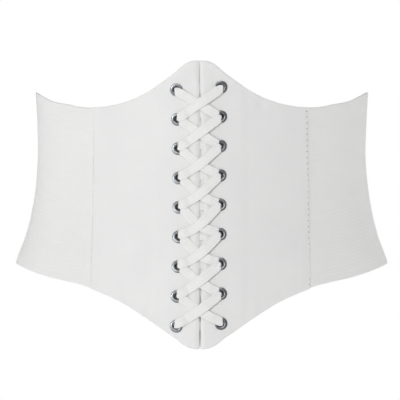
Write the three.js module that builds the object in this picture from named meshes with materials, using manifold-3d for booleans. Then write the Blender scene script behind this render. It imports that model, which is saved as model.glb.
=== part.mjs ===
// Lace-up waist belt: two pointed front panels of faux leather with nine metal eyelets each, a flat
// lace that crosses between them, a modesty strip behind the slit, and one wide elastic band that
// runs from panel to panel round the sides and back. It keeps the form that it has when worn.
// Millimetres, +Z up. The origin is the middle of the waist, at its narrowest height. The front
// faces -Y, and left and right are as seen from the front, so left is -X.

import * as THREE from "three";
import { mergeVertices } from "three/addons/utils/BufferGeometryUtils.js";
import Module from "manifold-3d";

// The wearer's waist, which the belt follows: sections at several heights. Each is a rounded oval,
// and its line is the outer face of the elastic band.
const SECTIONS = [
  { height: -145, halfWidth: 154, front: 99, back: 94 },
  { height: -100, halfWidth: 146.5, front: 97.6, back: 93 },
  { height: -80, halfWidth: 140.6, front: 96.2, back: 92 },
  { height: -60, halfWidth: 133.2, front: 94.2, back: 89.5 },
  { height: -40, halfWidth: 128.4, front: 92, back: 86.5 },
  { height: -20, halfWidth: 125.6, front: 90.2, back: 84 },
  { height: 0, halfWidth: 124.3, front: 89.6, back: 83 },
  { height: 20, halfWidth: 124.7, front: 90, back: 83.5 },
  { height: 42, halfWidth: 125.9, front: 91.6, back: 85.5 },
  { height: 70, halfWidth: 128.6, front: 95, back: 88 },
];
const OVAL_POWER = { front: 2.1, back: 2.3 };
// The stiff panels meet in a soft ridge down the front.
const RIDGE = { height: 3, rounding: 5, spread: 25 };

// Edges of the front panels, by the distance across from the middle.
const FRONT_EDGES = [
  { across: 0, top: 66.2, bottom: -141.2 },
  { across: 6, top: 65.7, bottom: -140.6 },
  { across: 11, top: 63.4, bottom: -138.2 },
  { across: 17, top: 58.4, bottom: -133.4 },
  { across: 24, top: 53.2, bottom: -128.6 },
  { across: 38, top: 43.7, bottom: -118.8 },
  { across: 54, top: 36.9, bottom: -108.7 },
  { across: 68, top: 34, bottom: -102.2 },
  { across: 80, top: 33.3, bottom: -97.8 },
];

// Edges of the band, by the turn round the waist from the middle of the front, in degrees.
const BAND_EDGES = [
  { turn: 24, top: 35.4, bottom: -103.6 },
  { turn: 28, top: 34.5, bottom: -100.6 },
  { turn: 33, top: 33.6, bottom: -97.2 },
  { turn: 38, top: 33.2, bottom: -94.6 },
  { turn: 44, top: 33.9, bottom: -92.4 },
  { turn: 50, top: 35.9, bottom: -90.4 },
  { turn: 60, top: 38.6, bottom: -86.8 },
  { turn: 70, top: 43, bottom: -83.9 },
  { turn: 80, top: 46.3, bottom: -82.2 },
  { turn: 90, top: 47, bottom: -82 },
  { turn: 112, top: 42.5, bottom: -83.5 },
  { turn: 142, top: 36, bottom: -88 },
  { turn: 180, top: 34, bottom: -90 },
];

// Walls, each from its inner to its outer face, measured outwards from the sections above.
const BAND_WALL = { inner: -1.5, outer: 0 };
const PANEL_WALL = { inner: 0.3, outer: 2.1 };
const PLACKET_WALL = { inner: -1.2, outer: 0 };
const PLACKET_SINK = 4.5; // how far its middle stands back, to leave room for the lace
const PLACKET_FLAT = 18.5; // half width of that middle
const PLACKET_REACH = 34;
const PLACKET_SLOPE_END = 25;
const PLACKET_SHORT = 1.5; // its top and bottom stay this far inside the panels' edges
// Beyond the lace the strip comes forward again: the heights where that begins, the least height
// that it takes, and the share of the sink that is left at its top and bottom.
const PLACKET_CLOSING = { above: 50, below: -128, height: 7, left: 0.25 };

const SEAM_AT_WAIST = 78.4; // from the middle to the panel's outer edge
const SEAM_LEAN = -0.0135; // the seam moves outwards by this for each mm upwards
const SEAM_LAP = 8.5; // the panel covers this much of the band
const SLIT_LEFT = 0.2; // from the middle to the left panel's inner edge
const SLIT_RIGHT = { ends: 0.15, bow: 2.6, top: 66, bottom: -141 }; // the right one's edge bows away

const EYELETS = 9;
const EYELET_PITCH = 21.25;
const EYELET_SIDES = 10;
const HOLE_RADIUS = 3.3;
const HOLE_SIDES = 12;
const EYELET_COLUMNS = [
  { side: "left", sign: -1, first: 45.3, across: 16.4, drawnIn: 1.7 },
  { side: "right", sign: 1, first: 47.2, across: 15.1, drawnIn: 0.7 },
];
// Half section of an eyelet: barrel, rolled outer flange, flat back flange.
const EYELET_PROFILE = [
  { radius: 2.4, out: -0.5 },
  { radius: 3.3, out: -0.8 },
  { radius: 4.2, out: 0 },
  { radius: 2.9, out: 0 },
  { radius: 2.9, out: 2.4 },
  { radius: 4.6, out: 2.4 },
  { radius: 3.5, out: 3 },
  { radius: 2.4, out: 2.7 },
];

// The lace: a flat braid that is bunched where it goes through an eyelet. Its two strands never
// touch: the upper one lies over the lower one outside and further in behind the panels.
const LACE = { halfWidth: 3.45, halfThickness: 0.4, bunchedHalfWidth: 1.1, bunchedHalfThickness: 0.5 };
const LACE_BEND = 1.2; // radius of its bend over an eyelet's edge
const LACE_DROP = 0.85; // it lies lower between the eyelets than over their flanges
const LACE_STEPS = [0.07, 0.19, 0.33, 0.5, 0.67, 0.81, 0.93];
const LACE_STRAIGHT = 4; // how long it keeps its course before it turns to the other side
// Where it leaves an eyelet it is open, has moved up or down and leans into its course.
const LACE_EXIT = { halfWidth: 3.1, shift: 1.2, lean: THREE.MathUtils.degToRad(24) };
const STRANDS = {
  lower: { seat: 1.2, outside: 3.75, inside: -1.75 },
  upper: { seat: -0.1, outside: 4.95, inside: -3.25 },
};
// How far each crossing hangs below the middle between its rows, top to bottom.
const LACE_SAGS = [0, 0.2, 1.7, 2.2, 3.1, 2.9, 1.2, 1.1];
// An inner stretch is open behind the slit. There it lies at this level, above or below its holes,
// and hangs as low as the crossings beside it.
const LACE_BEHIND = { front: { level: -0.45, rise: 2.9 }, back: { level: -1.65, rise: -3.9 } };

const WHITE_LEATHER = new THREE.MeshStandardMaterial({ color: 0xf0f0ee, roughness: 0.62, metalness: 0 });
const WHITE_ELASTIC = new THREE.MeshStandardMaterial({ color: 0xeeeeec, roughness: 0.8, metalness: 0 });
const WHITE_BRAID = new THREE.MeshStandardMaterial({ color: 0xf4f4f2, roughness: 0.85, metalness: 0 });
const NICKEL = new THREE.MeshStandardMaterial({ color: 0xb9bcbf, roughness: 0.3, metalness: 1 });

const wasm = await Module();
wasm.setup();

// A smooth curve through one column of a table, read at a place of another column.
function readTable(rows, byColumn, column, at) {
  const last = rows.length - 1;
  const slope = (i) => {
    const a = rows[Math.max(0, i - 1)];
    const b = rows[Math.min(last, i + 1)];
    return (b[column] - a[column]) / (b[byColumn] - a[byColumn]);
  };
  let i = 0;
  while (i < last - 1 && at > rows[i + 1][byColumn]) i += 1;
  const step = rows[i + 1][byColumn] - rows[i][byColumn];
  const t = (at - rows[i][byColumn]) / step;
  const rise = t * t * (3 - 2 * t);
  return (
    rows[i][column] * (1 - rise) +
    rows[i + 1][column] * rise +
    step * t * (1 - t) * (slope(i) * (1 - t) - slope(i + 1) * t)
  );
}

const section = (column, height) => readTable(SECTIONS, "height", column, height);
const mix = (a, b, t) => a + (b - a) * t;

function turnOf(across, height) {
  const share = across / section("halfWidth", height);
  return THREE.MathUtils.radToDeg(Math.asin(share ** (OVAL_POWER.front / 2)));
}

// A point of the waist at a turn from the middle of the front, in degrees, and a height.
function onWaist(turn, height) {
  const angle = THREE.MathUtils.degToRad(turn);
  const half = Math.cos(angle) > 0 ? "front" : "back";
  const rounded = (value) => Math.sign(value) * Math.abs(value) ** (2 / OVAL_POWER[half]);
  const x = section("halfWidth", height) * rounded(Math.sin(angle));
  const side = Math.hypot(x, RIDGE.rounding) - RIDGE.rounding;
  const ridge = half === "front" ? RIDGE.height * Math.exp(-side / RIDGE.spread) : 0;
  return new THREE.Vector3(x, -section(half, height) * rounded(Math.cos(angle)) - ridge, height);
}

// The same, moved outwards, square to the surface.
function waistPoint(turn, height, out) {
  const near = 0.05;
  const around = onWaist(turn + near, height).sub(onWaist(turn - near, height));
  const upwards = onWaist(turn, height + near).sub(onWaist(turn, height - near));
  const normal = around.cross(upwards).normalize();
  return { point: onWaist(turn, height).addScaledVector(normal, out), normal };
}

// The same for a place on the front, given by its signed distance across.
const frontPoint = (x, height, out) =>
  waistPoint(Math.sign(x) * turnOf(Math.abs(x), height), height, out);

// A wall: a box of many cells whose every point is moved to its place on the body. Across, up and
// out run from 0 to 1 in the box.
function bentWall(columns, rows, place) {
  const geometry = new THREE.BoxGeometry(1, 1, 1, columns, rows, 1);
  const position = geometry.attributes.position;
  for (let i = 0; i < position.count; i += 1) {
    const p = place(position.getX(i) + 0.5, position.getY(i) + 0.5, position.getZ(i) + 0.5);
    position.setXYZ(i, p.x, p.y, p.z);
  }
  return weld(geometry);
}

function weld(geometry) {
  geometry.deleteAttribute("normal");
  geometry.deleteAttribute("uv");
  const welded = mergeVertices(geometry, 1e-3);
  welded.computeVertexNormals();
  return welded;
}

function toSolid(geometry) {
  return new wasm.Manifold(
    new wasm.Mesh({
      numProp: 3,
      vertProperties: new Float32Array(geometry.attributes.position.array),
      triVerts: new Uint32Array(geometry.index.array),
    }),
  );
}

function fromSolid(solid) {
  const mesh = solid.getMesh();
  const geometry = new THREE.BufferGeometry();
  geometry.setAttribute("position", new THREE.BufferAttribute(mesh.vertProperties, 3));
  geometry.setIndex(new THREE.BufferAttribute(mesh.triVerts, 1));
  geometry.computeVertexNormals();
  return geometry;
}

// Places of the eyelets, top to bottom. Each column is drawn in a little towards the waist.
function eyeletPlaces(column) {
  return Array.from({ length: EYELETS }, (_, i) => {
    const drawn = column.drawnIn * Math.sin((Math.PI * i) / (EYELETS - 1));
    return { x: column.sign * (column.across - drawn), z: column.first - EYELET_PITCH * i };
  });
}

const seamAcross = (height) => SEAM_AT_WAIST + SEAM_LEAN * height;

function slitAcross(sign, height) {
  if (sign < 0) return SLIT_LEFT;
  const along = (height - SLIT_RIGHT.bottom) / (SLIT_RIGHT.top - SLIT_RIGHT.bottom);
  const inside = THREE.MathUtils.clamp(along, 0, 1);
  return SLIT_RIGHT.ends + SLIT_RIGHT.bow * Math.sin(Math.PI * inside) ** 2;
}

function panelGeometry(column) {
  const place = (u, v, w) => {
    const outwards = column.sign > 0 ? u : 1 - u;
    const guess = mix(SLIT_LEFT, SEAM_AT_WAIST, outwards);
    const height = mix(
      readTable(FRONT_EDGES, "across", "bottom", guess),
      readTable(FRONT_EDGES, "across", "top", guess),
      v,
    );
    const x = mix(slitAcross(column.sign, height), seamAcross(height), outwards);
    return frontPoint(column.sign * x, height, mix(PANEL_WALL.inner, PANEL_WALL.outer, w)).point;
  };
  let solid = toSolid(bentWall(14, 18, place));
  for (const { x, z } of eyeletPlaces(column)) {
    const drill = new THREE.CylinderGeometry(HOLE_RADIUS, HOLE_RADIUS, 20, HOLE_SIDES);
    const { point, normal } = frontPoint(x, z, 0);
    drill.applyQuaternion(new THREE.Quaternion().setFromUnitVectors(new THREE.Vector3(0, 1, 0), normal));
    drill.translate(point.x, point.y, point.z);
    solid = solid.subtract(toSolid(weld(drill)));
  }
  return fromSolid(solid);
}

// The band starts under one panel, goes round the sides and back, and ends under the other.
function bandGeometry() {
  const lapShare = 0.02;
  const turnAt = (along, height) => {
    const seam = turnOf(seamAcross(height), height);
    const lap = turnOf(seamAcross(height) - SEAM_LAP, height);
    if (along < lapShare) return mix(lap, seam, along / lapShare);
    return mix(seam, 180, (along - lapShare) / (1 - lapShare));
  };
  return bentWall(44, 8, (u, v, w) => {
    const along = 1 - Math.abs(2 * u - 1);
    const edge = (column, guess) => readTable(BAND_EDGES, "turn", column, turnAt(along, guess));
    const height = mix(edge("bottom", -98), edge("top", 33), v);
    const turn = u < 0.5 ? turnAt(along, height) : 360 - turnAt(along, height);
    return waistPoint(turn, height, mix(BAND_WALL.inner, BAND_WALL.outer, w)).point;
  });
}

// The modesty strip lies against both panels along its sides and stands back behind the lace. Its
// first and last rows of cells come forward.
function placketGeometry() {
  const rows = 10;
  return bentWall(10, rows, (u, v, w) => {
    const x = mix(-PLACKET_REACH, PLACKET_REACH, u);
    const bottom = readTable(FRONT_EDGES, "across", "bottom", Math.abs(x)) + PLACKET_SHORT;
    const top = readTable(FRONT_EDGES, "across", "top", Math.abs(x)) - PLACKET_SHORT;
    const low = Math.max(PLACKET_CLOSING.below, bottom + PLACKET_CLOSING.height);
    const high = Math.min(PLACKET_CLOSING.above, top - PLACKET_CLOSING.height);
    const row = Math.round(v * rows);
    let height = mix(low, high, (row - 1) / (rows - 2));
    let sink = PLACKET_SINK * (1 - THREE.MathUtils.smoothstep(Math.abs(x), PLACKET_FLAT, PLACKET_SLOPE_END));
    if (row === 0 || row === rows) {
      height = row === 0 ? bottom : top;
      sink *= PLACKET_CLOSING.left;
    }
    return frontPoint(x, height, mix(PLACKET_WALL.inner, PLACKET_WALL.outer, w) - sink).point;
  });
}

function eyeletGeometry() {
  const profile = EYELET_PROFILE.map(({ radius, out }) => new THREE.Vector2(radius, out));
  profile.push(profile[0].clone());
  return weld(new THREE.LatheGeometry(profile, EYELET_SIDES));
}

// One section of the lace, in the panels' own flat measure: x across, y up and z out.
function laceSection(middle, wide, thick, halfWidth, halfThickness) {
  return [
    [-1, 1],
    [1, 1],
    [1, -1],
    [-1, -1],
  ].map(([a, b]) =>
    middle.clone().addScaledVector(wide, a * halfWidth).addScaledVector(thick, b * halfThickness),
  );
}

// Sections through an eyelet, from outside to inside: two bends over its edge towards the slit. The
// heading is 1 or -1 for a lace that leaves upwards or downwards.
function laceThrough(hole, strand, heading) {
  const toSlit = -Math.sign(hole.x);
  const bend = (angle, level, opened, shift) => {
    const thick = new THREE.Vector3(toSlit * Math.cos(angle), 0, Math.sin(angle));
    const middle = new THREE.Vector3(
      hole.x + toSlit * (strand.seat + LACE_BEND),
      hole.z + heading * shift,
      level,
    );
    middle.addScaledVector(thick, LACE_BEND);
    const lean = LACE_EXIT.lean * opened;
    const wide = new THREE.Vector3(-toSlit * heading * Math.sin(lean), Math.cos(lean), 0);
    const halfWidth = mix(LACE.bunchedHalfWidth, LACE_EXIT.halfWidth, opened);
    const halfThickness = mix(LACE.bunchedHalfThickness, LACE.halfThickness, opened);
    return laceSection(middle, wide, thick, halfWidth, halfThickness);
  };
  const outer = [1, 0.5, 0].map((opened) => {
    const shift = LACE_EXIT.shift * opened;
    return bend((1 - opened / 2) * Math.PI, strand.outside - LACE_BEND, opened, shift);
  });
  const inner = [1, 1.25, 1.5].map((k) => bend(k * Math.PI, strand.inside + LACE_BEND, 0, 0));
  return [...outer, ...inner];
}

// Sections of an outer stretch, which opens to its full width, hangs down a little and crosses to
// the other side.
function laceAcross(from, to, strand, sag) {
  const heading = Math.sign(to.z - from.z);
  const reach = new THREE.Vector2(strand.seat + LACE_BEND, heading * LACE_EXIT.shift);
  const lead = new THREE.Vector2(Math.cos(LACE_EXIT.lean), heading * Math.sin(LACE_EXIT.lean));
  const start = new THREE.Vector2(from.x, from.z).add(reach);
  const end = new THREE.Vector2(to.x, to.z).sub(reach);
  const route = new THREE.CubicBezierCurve(
    start,
    start.clone().addScaledVector(lead, LACE_STRAIGHT),
    end.clone().addScaledVector(lead, -LACE_STRAIGHT),
    end,
  );
  const hanging = (t) => route.getPoint(t).sub(new THREE.Vector2(0, sag * Math.sin(Math.PI * t) ** 2));
  return LACE_STEPS.map((t) => {
    const place = hanging(t);
    const course = hanging(t + 0.01).sub(hanging(t - 0.01)).normalize();
    const away = Math.min(
      Math.hypot(place.x - from.x, place.y - from.z),
      Math.hypot(place.x - to.x, place.y - to.z),
    );
    const level = strand.outside - LACE_DROP * THREE.MathUtils.smoothstep(away, 5.6, 9);
    const fan = THREE.MathUtils.smoothstep(away, 1, 5);
    return laceSection(
      new THREE.Vector3(place.x, place.y, level),
      new THREE.Vector3(-course.y, course.x, 0),
      new THREE.Vector3(0, 0, 1),
      mix(LACE_EXIT.halfWidth, LACE.halfWidth, fan),
      LACE.halfThickness,
    );
  });
}

// Sections of an inner stretch, behind the panels from the right eyelet to the left one. In the top
// and bottom rows there is only one.
function laceBehind(from, to, fromStrand, toStrand, sag) {
  const alone = fromStrand !== toStrand;
  const { level, rise } = fromStrand === STRANDS.lower || alone ? LACE_BEHIND.front : LACE_BEHIND.back;
  return [0.3, 0.7].map((t) => {
    const height = mix(from.z, to.z, t) + (alone ? 0 : rise) - sag;
    const middle = new THREE.Vector3(mix(from.x, to.x, t), height, level);
    const wide = new THREE.Vector3(0, 1, 0);
    return laceSection(middle, wide, new THREE.Vector3(0, 0, -1), LACE.halfWidth, LACE.halfThickness);
  });
}

// The whole lace: down as the lower strand, through the bottom row, and back up as the upper one.
function laceGeometry() {
  const [left, right] = EYELET_COLUMNS.map(eyeletPlaces);
  const { lower, upper } = STRANDS;
  const sections = [];
  const addStretch = (i, j, strand, next) => {
    const heading = Math.sign(right[j].z - left[i].z);
    const rowSag = ((LACE_SAGS[j - 1] ?? 0) + (LACE_SAGS[j] ?? 0)) / 2;
    sections.push(
      ...laceThrough(left[i], strand, heading).reverse(),
      ...laceAcross(left[i], right[j], strand, LACE_SAGS[Math.min(i, j)]),
      ...laceThrough(right[j], strand, -heading),
      ...laceBehind(right[j], left[j], strand, next, rowSag),
    );
  };
  for (let i = 0; i < EYELETS - 1; i += 1) {
    addStretch(i, i + 1, lower, i + 1 < EYELETS - 1 ? lower : upper);
  }
  for (let i = EYELETS - 1; i > 0; i -= 1) addStretch(i, i - 1, upper, i - 1 > 0 ? upper : lower);
  // A ring with a four-cornered section, each of whose sections is moved to its place.
  const square = [0, 1, 2, 3, 0].map((k) => new THREE.Vector2(2 + Math.cos(k), Math.sin(k)));
  const geometry = new THREE.LatheGeometry(square, sections.length);
  const position = geometry.attributes.position;
  for (let i = 0; i < position.count; i += 1) {
    const corners = sections[Math.floor(i / square.length) % sections.length];
    const corner = corners[(i % square.length) % corners.length];
    const { x, y, z } = frontPoint(corner.x, corner.y, corner.z).point;
    position.setXYZ(i, x, y, z);
  }
  return weld(geometry);
}

function piece(name, geometry, material) {
  const mesh = new THREE.Mesh(geometry, material);
  mesh.name = name;
  return mesh;
}

const belt = new THREE.Group();
belt.add(piece("elastic_band", bandGeometry(), WHITE_ELASTIC));
belt.add(piece("modesty_strip", placketGeometry(), WHITE_LEATHER));
belt.add(piece("lace", laceGeometry(), WHITE_BRAID));
for (const column of EYELET_COLUMNS) {
  belt.add(piece(`front_panel_${column.side}`, panelGeometry(column), WHITE_LEATHER));
  eyeletPlaces(column).forEach(({ x, z }, i) => {
    const eyelet = piece(`eyelet_${column.side}_${i + 1}`, eyeletGeometry(), NICKEL);
    const { point, normal } = frontPoint(x, z, 0);
    eyelet.position.copy(point);
    eyelet.quaternion.setFromUnitVectors(new THREE.Vector3(0, 1, 0), normal);
    belt.add(eyelet);
  });
}

export default belt;
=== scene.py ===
"""Looks of a white lace-up waist belt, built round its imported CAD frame.

Shapes are worked out in millimetres on numpy grids and put into meshes in metres. The front faces
-Y, and left and right are as seen from the front, so left is -X.
"""

import math

import bpy
import numpy as np
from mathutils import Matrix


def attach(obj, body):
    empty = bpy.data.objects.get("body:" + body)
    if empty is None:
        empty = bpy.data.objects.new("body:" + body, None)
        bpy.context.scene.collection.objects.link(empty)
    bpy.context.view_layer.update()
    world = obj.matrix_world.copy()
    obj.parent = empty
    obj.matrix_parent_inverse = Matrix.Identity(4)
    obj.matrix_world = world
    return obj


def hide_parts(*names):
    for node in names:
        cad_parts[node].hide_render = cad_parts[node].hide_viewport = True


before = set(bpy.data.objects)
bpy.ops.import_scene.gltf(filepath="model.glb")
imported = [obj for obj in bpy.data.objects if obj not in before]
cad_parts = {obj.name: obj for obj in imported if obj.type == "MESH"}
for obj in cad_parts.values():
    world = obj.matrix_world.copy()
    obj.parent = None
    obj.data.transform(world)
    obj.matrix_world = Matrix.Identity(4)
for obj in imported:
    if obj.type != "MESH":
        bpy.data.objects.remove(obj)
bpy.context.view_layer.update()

MM = 0.001

# The worn form, as in the CAD source: rounded ovals at several heights, in millimetres. Their line
# is the outer face of the elastic band.
WAIST = {
    "height": (-145, -100, -80, -60, -40, -20, 0, 20, 42, 70),
    "half_width": (154, 146.5, 140.6, 133.2, 128.4, 125.6, 124.3, 124.7, 125.9, 128.6),
    "front": (99, 97.6, 96.2, 94.2, 92, 90.2, 89.6, 90, 91.6, 95),
    "back": (94, 93, 92, 89.5, 86.5, 84, 83, 83.5, 85.5, 88),
}
FRONT_POWER, BACK_POWER = 2.1, 2.3
# A low ridge down the middle of the front.
RIDGE_HEIGHT, RIDGE_ROUNDING, RIDGE_SPREAD = 3, 5, 25

# Heights of the panels' hems by the distance across, and of the band's selvedges by the turn round
# the waist in degrees.
FRONT_EDGES = {
    "across": (0, 6, 11, 17, 24, 38, 54, 68, 80),
    "top": (66.2, 65.7, 63.4, 58.4, 53.2, 43.7, 36.9, 34, 33.3),
    "bottom": (-141.2, -140.6, -138.2, -133.4, -128.6, -118.8, -108.7, -102.2, -97.8),
}
BAND_EDGES = {
    "turn": (24, 28, 33, 38, 44, 50, 60, 70, 80, 90, 112, 142, 180),
    "top": (35.4, 34.5, 33.6, 33.2, 33.9, 35.9, 38.6, 43, 46.3, 47, 42.5, 36, 34),
    "bottom": (
        -103.6, -100.6, -97.2, -94.6, -92.4, -90.4, -86.8, -83.9, -82.2, -82, -83.5, -88, -90,
    ),
}

# Inner and outer faces of the walls, outwards from the waist's line.
BAND_WALL = (-1.5, 0)
PANEL_WALL = (0.3, 2.1)
STRIP_WALL = (-1.2, 0)

# The panels' outer edge: its distance across at the waist, its lean, and the band's lap under it.
SEAM_AT_WAIST, SEAM_LEAN, SEAM_LAP = 78.4, -0.0135, 8.5
# The panels' inner edges: their distance from the middle, the right one's at its top and bottom
# and its bow between them, and the heights of those two ends.
SLIT_LEFT = 0.06
SLIT_RIGHT_TOP, SLIT_RIGHT_BOTTOM, SLIT_RIGHT_BOW = 0.06, 0.6, 2.5
SLIT_TOP, SLIT_BOTTOM = 66, -141

EYELETS, EYELET_PITCH, HOLE_RADIUS = 9, 21.25, 3.3
# Sign of the side, first height, distance across, and how far the column's middle is drawn in.
EYELET_COLUMNS = {"left": (-1, 45.3, 16.4, 1.7), "right": (1, 47.2, 15.1, 0.7)}


def smoothstep(value, low, high):
    """0 below low, 1 above high, and 3t^2 - 2t^3 between, where t runs from 0 to 1."""
    t = np.clip((value - low) / (high - low), 0, 1)
    return t * t * (3 - 2 * t)


def bell(value, middle, width):
    """A soft bump of height 1: exp(-((value - middle) / width)^2)."""
    return np.exp(-(((value - middle) / width) ** 2))


def fading(distance, depth, full, gone):
    """A depth that is whole up to the full distance and falls to nothing at the gone one, by a
    smoothstep."""
    return depth * (1 - smoothstep(distance, full, gone))


def mix(a, b, share):
    """a at share 0, b at share 1, and in proportion between: a + (b - a) share."""
    return a + (b - a) * share


def curve(table, by, column, at):
    """Smooth curve through a table's column: between two rows it is the cubic that has their values
    and, at each row, the slope from the row before to the row after."""
    places, values = np.array(table[by], float), np.array(table[column], float)
    last = len(places) - 1
    before = np.maximum(np.arange(last + 1) - 1, 0)
    after = np.minimum(np.arange(last + 1) + 1, last)
    slopes = (values[after] - values[before]) / (places[after] - places[before])
    i = np.clip(np.searchsorted(places, at) - 1, 0, last - 1)
    step = places[i + 1] - places[i]
    t = (at - places[i]) / step
    bend = step * t * (1 - t) * (slopes[i] * (1 - t) - slopes[i + 1] * t)
    return mix(values[i], values[i + 1], t * t * (3 - 2 * t)) + bend


def turn_of(across, height):
    """Turn round the waist in degrees at a distance across the front: asin((x / a)^(n / 2))."""
    share = np.abs(across) / curve(WAIST, "height", "half_width", height)
    return np.sign(across) * np.degrees(np.arcsin(share ** (FRONT_POWER / 2)))


def on_waist(turn, height):
    """Point of the waist's line: x = a sin^(2/n), y = -b cos^(2/n) of the turn, signs kept, with a
    and b read at the height. In front a ridge h exp(-s/w) is added, with s = sqrt(x^2 + r^2) - r."""
    sine, cosine = np.sin(np.radians(turn)), np.cos(np.radians(turn))
    front = cosine > 0
    power = 2 / np.where(front, FRONT_POWER, BACK_POWER)
    x = curve(WAIST, "height", "half_width", height) * np.sign(sine) * np.abs(sine) ** power
    depth = np.where(
        front, curve(WAIST, "height", "front", height), curve(WAIST, "height", "back", height)
    )
    side = np.hypot(x, RIDGE_ROUNDING) - RIDGE_ROUNDING
    ridge = np.where(front, RIDGE_HEIGHT * np.exp(-side / RIDGE_SPREAD), 0)
    y = -depth * np.sign(cosine) * np.abs(cosine) ** power - ridge
    return np.stack(np.broadcast_arrays(x, y, height), -1)


def waist_frame(turn, height):
    """Point of the waist's line and the outward direction there, which is the cross product of a
    small step round and one upwards."""
    near = 0.05
    around = on_waist(turn + near, height) - on_waist(turn - near, height)
    upwards = on_waist(turn, height + near) - on_waist(turn, height - near)
    normal = np.cross(around, upwards)
    return on_waist(turn, height), normal / np.linalg.norm(normal, axis=-1, keepdims=True)


def waist_point(turn, height, out):
    """Point at a distance out from the waist's line, square to the surface."""
    turn, height, out = np.broadcast_arrays(turn, height, out)
    point, normal = waist_frame(turn, height)
    return point + normal * out[..., None]


def front_point(across, height, out):
    """The same, for a signed distance across the front."""
    return waist_point(turn_of(across, height), height, out)


def put_mesh(name, points, faces, uv=None):
    """Makes an object of points in millimetres and of arrays of faces; unused points are dropped.
    uv gives each point's place in a flat pattern, in metres."""
    used, order = np.unique(np.concatenate([f.ravel() for f in faces]), return_inverse=True)
    parts = np.split(order, np.cumsum([f.size for f in faces])[:-1])
    polygons = [row for f, part in zip(faces, parts) for row in part.reshape(f.shape).tolist()]
    mesh = bpy.data.meshes.new(name)
    mesh.from_pydata((points[used] * MM).tolist(), [], polygons)
    if uv is not None:
        corners = np.zeros(len(mesh.loops), np.int32)
        mesh.loops.foreach_get("vertex_index", corners)
        layer = mesh.uv_layers.new(name="UVMap")
        layer.data.foreach_set("uv", uv[used][corners].astype(np.float32).ravel())
    mesh.shade_smooth()
    piece = bpy.data.objects.new(name, mesh)
    bpy.context.scene.collection.objects.link(piece)
    return piece


def grid_cells(rows, columns):
    """The four corners of each cell of a grid, anticlockwise with columns to the right, rows up."""
    corner = np.arange(rows * columns).reshape(rows, columns)
    return np.stack([corner[:-1, :-1], corner[:-1, 1:], corner[1:, 1:], corner[1:, :-1]], -1)


def shell_faces(rows, columns, kept=None):
    """Faces of a closed wall between an outer and an inner grid of points, whose numbers follow the
    outer ones. Each edge between a kept cell and a dropped one or the outside gets a rim face."""
    cells = grid_cells(rows, columns)
    if kept is None:
        kept = np.ones(cells.shape[:2], bool)
    round_about = np.pad(kept, 1)
    beside = (
        (round_about[:-2, 1:-1], 0, 1),
        (round_about[1:-1, 2:], 1, 2),
        (round_about[2:, 1:-1], 2, 3),
        (round_about[1:-1, :-2], 3, 0),
    )
    inner = rows * columns
    faces = [cells[kept], cells[kept][:, ::-1] + inner]
    for other, start, end in beside:
        a, b = cells[kept & ~other][:, start], cells[kept & ~other][:, end]
        faces.append(np.stack([b, a, a + inner, b + inner], -1))
    return faces


def ring_faces(rows, columns):
    """Cells of a grid that is closed both ways, like a tyre's."""
    corner = np.arange(rows * columns).reshape(rows, columns)
    right, up = np.roll(corner, -1, 1), np.roll(corner, -1, 0)
    return np.stack([corner, right, np.roll(right, -1, 0), up], -1).reshape(-1, 4)


def put_wall(name, outer, inner, flat, kept=None):
    """Makes a closed wall of an outer and an inner grid of points and of their places in a flat
    pattern, all in millimetres."""
    points, places = (
        np.concatenate([a.reshape(-1, a.shape[-1]), b.reshape(-1, b.shape[-1])])
        for a, b in ((outer, inner), (flat, flat))
    )
    return put_mesh(name, points, shell_faces(*outer.shape[:2], kept), places * MM)


def wall_levels(wall):
    """Middle level and half thickness of a wall, from its inner and outer faces."""
    return (wall[0] + wall[1]) / 2, (wall[1] - wall[0]) / 2


# The walls' edges: their radius, the share of the wall that is left at the very edge, and the
# distances from it of the outermost points.
EDGE_RADIUS, EDGE_LEAST = 0.9, 0.33
EDGE_ROWS = (0, 0.15, 0.4, 0.9, 1.6)


def stations(count):
    """Places along a side, close together near both ends: the share of the whole, and the distance
    to add to it. The edge's distances come first and, mirrored, last."""
    edge = np.array(EDGE_ROWS)
    share = np.linspace(0, 1, count + 2)[1:-1]
    middle = edge[-1] * (1 - 2 * share)
    shares = np.concatenate([0 * edge, share, 0 * edge + 1])
    return shares, np.concatenate([edge, middle, -edge[::-1]])


def rounded(*distances):
    """Share of a wall's thickness near its edges, so that they are round: for each distance to an
    edge, the height of a circle's arc, sqrt(1 - (1 - d/r)^2), never under the least share."""
    share = 1
    for distance in distances:
        t = np.clip(distance / EDGE_RADIUS, 0, 1)
        share = share * np.maximum(np.sqrt(1 - (1 - t) ** 2), EDGE_LEAST)
    return share


def eyelet_places(side):
    """Across and height of a column's eyelets, top to bottom: the column's middle is drawn in by a
    half wave of a sine."""
    sign, first, across, drawn_in = EYELET_COLUMNS[side]
    i = np.arange(EYELETS)
    drawn = drawn_in * np.sin(np.pi * i / (EYELETS - 1))
    return sign * (across - drawn), first - EYELET_PITCH * i


def seam_across(height):
    """Distance from the middle to the panel's outer edge, a straight line over the height."""
    return SEAM_AT_WAIST + SEAM_LEAN * height


def slit_across(side, height):
    """Distance from the middle to the panel's inner edge. The right one bows away by sin^2."""
    if side == "left":
        return SLIT_LEFT + 0 * height
    along = np.clip((height - SLIT_BOTTOM) / (SLIT_TOP - SLIT_BOTTOM), 0, 1)
    ends = mix(SLIT_RIGHT_BOTTOM, SLIT_RIGHT_TOP, along)
    return ends + SLIT_RIGHT_BOW * np.sin(np.pi * along) ** 2


# Along the slit a panel's inner face is hollowed for the lace, and its outer one is pressed to a
# low lip. At the seam the stitches press its outer face down, and its edge bends onto the band.
# Each is a depth and the distances from the edge where it is full and gone.
SLIT_HOLLOW, SLIT_LIP = (1.1, 5, 11), (0.6, 0, 2.4)
SEAM_PRESSED, SEAM_CLOSED = (0.7, 1.5, 7), (0.25, 0.3, 2)
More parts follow.
